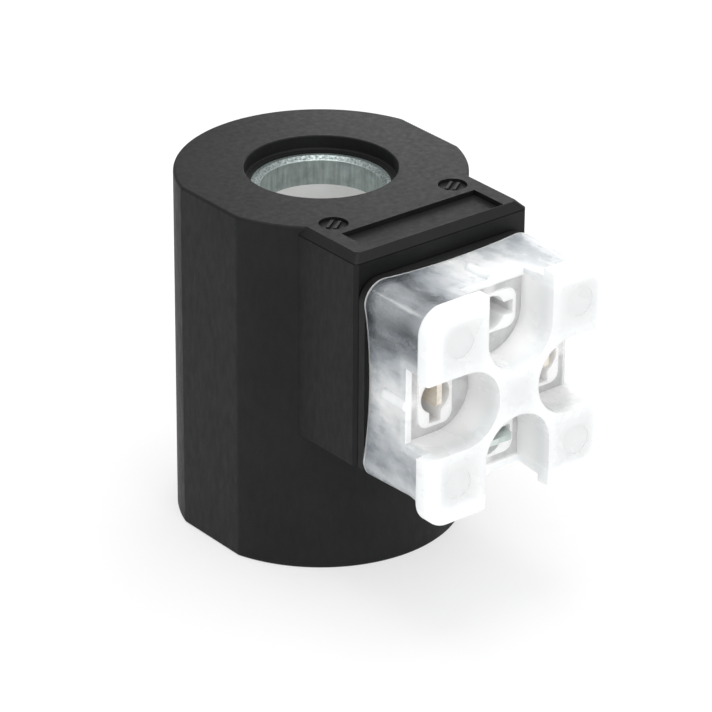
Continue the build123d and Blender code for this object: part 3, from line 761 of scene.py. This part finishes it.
# %% Sizes of the cap
cap_low, cap_high = millimetres("terminal_cap")
CAP_DEPTH = cap_high.y - cap_low.y
PAD_HALF = cap_high.x
PLUG_Z = (cap_low.z + cap_high.z) / 2
PLATE_FRONT = -cap_high.y
WALL = 1.0
CORNER = 3.0
PAD_CORNER = 3.6
PAD_OVERHANG = 1.15
PAD_THICK = 2.05
DRAFT = 0.2
RIM_HALF = PAD_HALF - PAD_OVERHANG
SKIRT_HALF = RIM_HALF - DRAFT
POST_HALF = SKIRT_HALF + 2 * DRAFT
SKIRT_LENGTH = 8.2
PAD_BACK = CAP_DEPTH - PAD_THICK
HUB_BACK = CAP_DEPTH - WALL
FLOOR_THICK = 0.55
FLOOR_SUNK = 0.4
FLOOR_FRONT = SKIRT_LENGTH - FLOOR_SUNK
FLOOR_BACK = FLOOR_FRONT - FLOOR_THICK
BLADE_OFFSET = 9.0
NOTCH_CENTRE = 8.55
NOTCH_HALF = 5.35
NOTCH_END = PAD_HALF + 2
SIDE_BOW = 0.9
TOP_BOW = 0.5
CORNER_STEPS = 10
SIDE_CUTS = 12
print("cap", 2 * PAD_HALF, "mm square and", CAP_DEPTH, "mm deep, plug centre at z", PLUG_Z)

# %% Tools for the cap's towers


def tower(corner, rings):
    """A round-cornered square drawn out through rings of height and half width."""
    height, half = rings[0]
    bpy.ops.object.select_all(action="DESELECT")
    bpy.ops.mesh.primitive_plane_add(size=2 * half, location=(0, 0, height))
    made = settle(bpy.context.object)
    edit_selection(made, "VERT", lambda vertex: True)
    bpy.ops.mesh.bevel(offset=corner, segments=CORNER_STEPS, affect="VERTICES")
    leave_edit()
    edit_selection(made, "EDGE", lambda edge: edge.calc_length() > corner)
    bpy.ops.mesh.subdivide(number_cuts=SIDE_CUTS)
    leave_edit()
    edit_selection(made, "FACE", lambda face: True)
    for next_height, next_half in rings[1:]:
        bpy.ops.mesh.extrude_region_move(
            TRANSFORM_OT_translate={"value": (0, 0, next_height - height)}
        )
        grow = next_half / half
        bpy.ops.transform.resize(value=(grow, grow, 1), center_override=(0, 0, next_height))
        height, half = next_height, next_half
    bpy.ops.mesh.select_all(action="SELECT")
    bpy.ops.mesh.normals_make_consistent(inside=False)
    leave_edit()
    return made


def bow_rim(obj, half, corner):
    """Pulls the middles of the four sides in at the rim and below it."""
    flat = half - corner
    for vertex in obj.data.vertices:
        x, y, z = vertex.co
        if z > NEAR:
            continue
        if abs(abs(x) - half) < NEAR and abs(y) < flat:
            vertex.co.x -= math.copysign(SIDE_BOW * (1 - (y / flat) ** 2), x)
        if abs(abs(y) - half) < NEAR and abs(x) < flat:
            vertex.co.y -= math.copysign(TOP_BOW * (1 - (x / flat) ** 2), y)


# %% Tools for the cap's slabs and notches
SHORT_OF_ROUND = 0.001


def slab(low, high, corner, rounded):
    """A block between two corners, with those of its upright edges rounded that pass the test."""
    low, high = Vector(low), Vector(high)
    middle = (low + high) / 2
    bpy.ops.object.select_all(action="DESELECT")
    bpy.ops.mesh.primitive_plane_add(size=1, location=(middle.x, middle.y, low.z))
    bpy.context.object.scale = (high.x - low.x, high.y - low.y, 1)
    made = settle(bpy.context.object)
    edit_selection(made, "VERT", rounded)
    bpy.ops.mesh.bevel(offset=corner, segments=2 * CORNER_STEPS, affect="VERTICES")
    leave_edit()
    edit_selection(made, "FACE", lambda face: True)
    bpy.ops.mesh.extrude_region_move(TRANSFORM_OT_translate={"value": (0, 0, high.z - low.z)})
    bpy.ops.mesh.select_all(action="SELECT")
    bpy.ops.mesh.normals_make_consistent(inside=False)
    leave_edit()
    return made


def notch(grown, outer, low, high):
    """A slot with a round inner end, on the +x side. A tiny flat keeps the end clean to cut."""
    half = NOTCH_HALF + grown
    inner = NOTCH_CENTRE - half
    corner = half - SHORT_OF_ROUND
    return slab((inner, -half, low), (outer, half, high), corner, lambda v: v.co.x < inner + 1)


def on_four_sides(obj, make, operation):
    """Combines a shape with the object on each of its four sides."""
    for quarter in range(4):
        tool = make()
        tool.rotation_euler.z = quarter * math.pi / 2
        combine(obj, settle(tool), operation)


# %% Outside of the cap: skirt, posts and pads
PAD_ROUND = 0.35
INTO_PAD = 0.9
cap = tower(
    CORNER,
    [(0, RIM_HALF), (SKIRT_LENGTH, SKIRT_HALF), (PAD_BACK, POST_HALF), (PAD_BACK + INTO_PAD, POST_HALF)],
)
bow_rim(cap, RIM_HALF, CORNER)
pad = tower(PAD_CORNER, [(PAD_BACK, PAD_HALF), (CAP_DEPTH, PAD_HALF)])
round_edges(pad, lies_at(CAP_DEPTH), PAD_ROUND, 3)
combine(cap, pad, "UNION")
print("outside of the cap has", len(cap.data.polygons), "faces")

# %% [markdown]
# Hollows, notches and floors
#
# The wall is one millimetre thick all over, so the hollows are the same towers, a wall smaller.
# Where a notch will come, the hollow of the posts is first cut back by a wider notch. That leaves
# the curved wall round each notch standing. The notches themselves come last, down to thin floors.

# %% Inside of the cap: the wide skirt, then the posts with the hub's walls left standing
BEFORE_RIM = 0.5
OVERLAP = 0.2
NARROWER = 0.3

inner_rim = RIM_HALF - WALL
throat = SKIRT_HALF - WALL
skirt_hollow = tower(
    CORNER - WALL, [(-BEFORE_RIM, inner_rim), (0, inner_rim), (FLOOR_BACK, throat)]
)
bow_rim(skirt_hollow, inner_rim, CORNER - WALL)
meets = (FLOOR_BACK - OVERLAP, throat - NARROWER)
post_hollow = tower(CORNER - WALL, [meets, (FLOOR_BACK, throat), (HUB_BACK, POST_HALF - WALL)])
on_four_sides(post_hollow, lambda: notch(WALL, NOTCH_END, FLOOR_BACK - PAST, CAP_DEPTH), "DIFFERENCE")
combine(cap, skirt_hollow, "DIFFERENCE")
combine(cap, post_hollow, "DIFFERENCE")
print("hollowed, the cap has", len(cap.data.polygons), "faces")

# %% Notches in front and the thin floors behind them
on_four_sides(cap, lambda: notch(0, NOTCH_END, SKIRT_LENGTH, CAP_DEPTH + PAST), "DIFFERENCE")
on_four_sides(cap, lambda: notch(0, throat, FLOOR_FRONT, SKIRT_LENGTH + PAST), "DIFFERENCE")
print("notched, the cap has", len(cap.data.polygons), "faces")

# %% [markdown]
# Sleeves
#
# A sleeve slips over each blade and grips it. It is a round-cornered tube with a slot for a flat
# blade and an eye for a round pin, and a web ties it to the skirt. The rib outside shows where the
# web is. All four are alike, so each shape is made once for a side and turned to the others.

# %% Sizes of the sleeves
SLEEVE_GAP = 0.5
SLEEVE_CORNER = 1.5
EYE_RADIUS = 2.35
RIB_RADIUS = 0.8
RIB_START = 2.9
SLOT_HALF_WIDTH = 3.7
SLOT_HALF_DEPTH = 0.95
EYE_WALL = 0.4
SLOT_WALL = 0.45
INTO_SLEEVE = 0.2
INTO_SKIRT = 0.4
RIB_STANDS = 0.5
SLEEVE_HALF_DEPTH = EYE_RADIUS + EYE_WALL
SLEEVE_HALF_WIDTH = SLOT_HALF_WIDTH + SLOT_WALL
print("sleeve", 2 * SLEEVE_HALF_WIDTH, "by", 2 * SLEEVE_HALF_DEPTH, "mm")

# %% Shapes that are added on each side


def sleeve():
    """The round-cornered outside of the sleeve that slips over a blade."""
    low = (BLADE_OFFSET - SLEEVE_HALF_DEPTH, -SLEEVE_HALF_WIDTH, SLEEVE_GAP)
    high = (BLADE_OFFSET + SLEEVE_HALF_DEPTH, SLEEVE_HALF_WIDTH, SKIRT_LENGTH)
    return slab(low, high, SLEEVE_CORNER, lambda v: True)


def web():
    """The web that ties a sleeve to the skirt."""
    low = (BLADE_OFFSET + SLEEVE_HALF_DEPTH - INTO_SLEEVE, -RIB_RADIUS, RIB_START)
    return brick(low, (SKIRT_HALF - INTO_SKIRT, RIB_RADIUS, FLOOR_FRONT))


def rib():
    """The half-round rib outside, in line with the web."""
    rib_x = SKIRT_HALF + RIB_STANDS - RIB_RADIUS
    return drum(RIB_RADIUS, RIB_START + RIB_RADIUS, SKIRT_LENGTH, (rib_x, 0), 32)


# %% Shapes that are cut through each sleeve


def slot():
    """The slot for the blade."""
    low = (BLADE_OFFSET - SLOT_HALF_DEPTH, -SLOT_HALF_WIDTH, 0)
    return brick(low, (BLADE_OFFSET + SLOT_HALF_DEPTH, SLOT_HALF_WIDTH, SKIRT_LENGTH + PAST))


def eye():
    """The round eye in the middle of the slot."""
    return drum(EYE_RADIUS, 0, SKIRT_LENGTH + PAST, (BLADE_OFFSET, 0), 48)


# %% Sleeves with their webs and ribs, then their slots and eyes
for shape in (sleeve, web, rib):
    on_four_sides(cap, shape, "UNION")
for shape in (slot, eye):
    on_four_sides(cap, shape, "DIFFERENCE")
print("with its sleeves the cap has", len(cap.data.polygons), "faces")

# %% [markdown]
# Slivers
#
# Cuts that nearly touch leave triangles a few thousandths of a millimetre wide, and these render
# as dark wedges. Merging the points that lie that close takes them out.

# %% Slivers left by the cuts, taken out
SLIVER = 0.004

edit_selection(cap, "VERT", lambda vertex: True)
bpy.ops.mesh.remove_doubles(threshold=SLIVER)
bpy.ops.mesh.dissolve_degenerate(threshold=SLIVER / 4)
leave_edit()
print("without slivers", len(cap.data.polygons), "faces")

# %% [markdown]
# Marks on the pads
#
# Each pad has a shallow round mark from the pin that pushes the cap out of its mould.

# %% Round marks on the pads
PAD_MARK_RADIUS = 2.05
PAD_MARK_PLACE = PAD_HALF - 5.3
PAD_MARK_DEPTH = 0.12

for x in (-PAD_MARK_PLACE, PAD_MARK_PLACE):
    for y in (-PAD_MARK_PLACE, PAD_MARK_PLACE):
        mark = drum(PAD_MARK_RADIUS, CAP_DEPTH - PAD_MARK_DEPTH, CAP_DEPTH + PAST, (x, y), 48)
        combine(cap, mark, "DIFFERENCE")
print("pad marks", PAD_MARK_DEPTH, "mm deep")

# %% The cap turned into place
cap.rotation_euler.x = math.pi / 2
cap.location = (0, -PLATE_FRONT, PLUG_Z)
settle(cap)
finish_shape(cap, "protective_cap", milky, "cap", "terminal_cap", weighted=False)

# %% [markdown]
# Floor and light
#
# The coil stands on a seamless pale table under soft light. The floor shows itself white to the
# camera, to glossy rays and through the cap, and it keeps the soft shadow round the foot. A sky
# that is brighter in front than behind and two large softboxes light the object at a plain level.
# A small lamp stands low and close behind, so the black top is brightest at its back edge.

# %% Pale floor
FLOOR_SIZE = 4.0
LIT_SHARE = 0.6

bpy.ops.object.select_all(action="DESELECT")
bpy.ops.mesh.primitive_plane_add(size=FLOOR_SIZE, location=(0, 0, cad_box[0].z))
floor = bpy.context.object
floor.name = "floor"

floor_material = bpy.data.materials.new("pale table")
floor_material.use_nodes = True
tree = floor_material.node_tree
tree.nodes.clear()
rays = add_node(tree, "ShaderNodeLightPath").outputs
seen = rays["Is Camera Ray"]
for ray in ("Is Glossy Ray", "Is Transmission Ray"):
    seen = add_node(tree, "ShaderNodeMath", [seen, rays[ray]], operation="MAXIMUM").outputs[0]
share = add_node(tree, "ShaderNodeMath", [seen, LIT_SHARE], operation="MULTIPLY").outputs[0]
paper = add_node(tree, "ShaderNodeBsdfDiffuse", {"Color": linear("#f7f7f7")}).outputs[0]
glow = {"Color": linear("#ffffff"), "Strength": 1.0}
glow = add_node(tree, "ShaderNodeEmission", glow).outputs[0]
table = add_node(tree, "ShaderNodeMixShader", [share, paper, glow]).outputs[0]
add_node(tree, "ShaderNodeOutputMaterial", [table])
floor.data.materials.append(floor_material)
print("floor", FLOOR_SIZE, "m wide at z", round(cad_box[0].z / MM, 2), "mm")

# %% Sky
SKY_IN_FRONT = 1.06
SKY_BEHIND = 0.6

world = bpy.data.worlds.new("studio")
world.use_nodes = True
tree = world.node_tree
tree.nodes.clear()
direction = add_node(tree, "ShaderNodeTexCoord").outputs["Generated"]
to_back = add_node(tree, "ShaderNodeSeparateXYZ", [direction]).outputs["Y"]
fade = [to_back, -1.0, 1.0, SKY_IN_FRONT, SKY_BEHIND]
strength = add_node(tree, "ShaderNodeMapRange", fade).outputs[0]
sky = add_node(tree, "ShaderNodeBackground", {"Color": linear("#ffffff"), "Strength": strength})
add_node(tree, "ShaderNodeOutputWorld", [sky.outputs[0]])
bpy.context.scene.world = world
print("sky from", SKY_IN_FRONT, "in front to", SKY_BEHIND, "behind")

# %% Lamps


def add_lamp(name, place_mm, size_mm, power):
    """A square soft lamp that points at the middle of the object."""
    data = bpy.data.lights.new(name, "AREA")
    data.energy = power
    data.shape = "SQUARE"
    data.size = size_mm * MM
    lamp = bpy.data.objects.new(name, data)
    lamp.location = Vector(place_mm) * MM
    lamp.rotation_mode = "QUATERNION"
    lamp.rotation_quaternion = lamp.location.to_track_quat("Z", "Y")
    bpy.context.scene.collection.objects.link(lamp)
    print(name, "gives", power, "W from", [round(c) for c in place_mm], "mm")


add_lamp("overhead softbox", (20, 40, 700), 450, 2.1)
add_lamp("front softbox", (-150, -680, 240), 400, 0.78)
add_lamp("low lamp behind", (84, 70, 52), 60, 0.027)
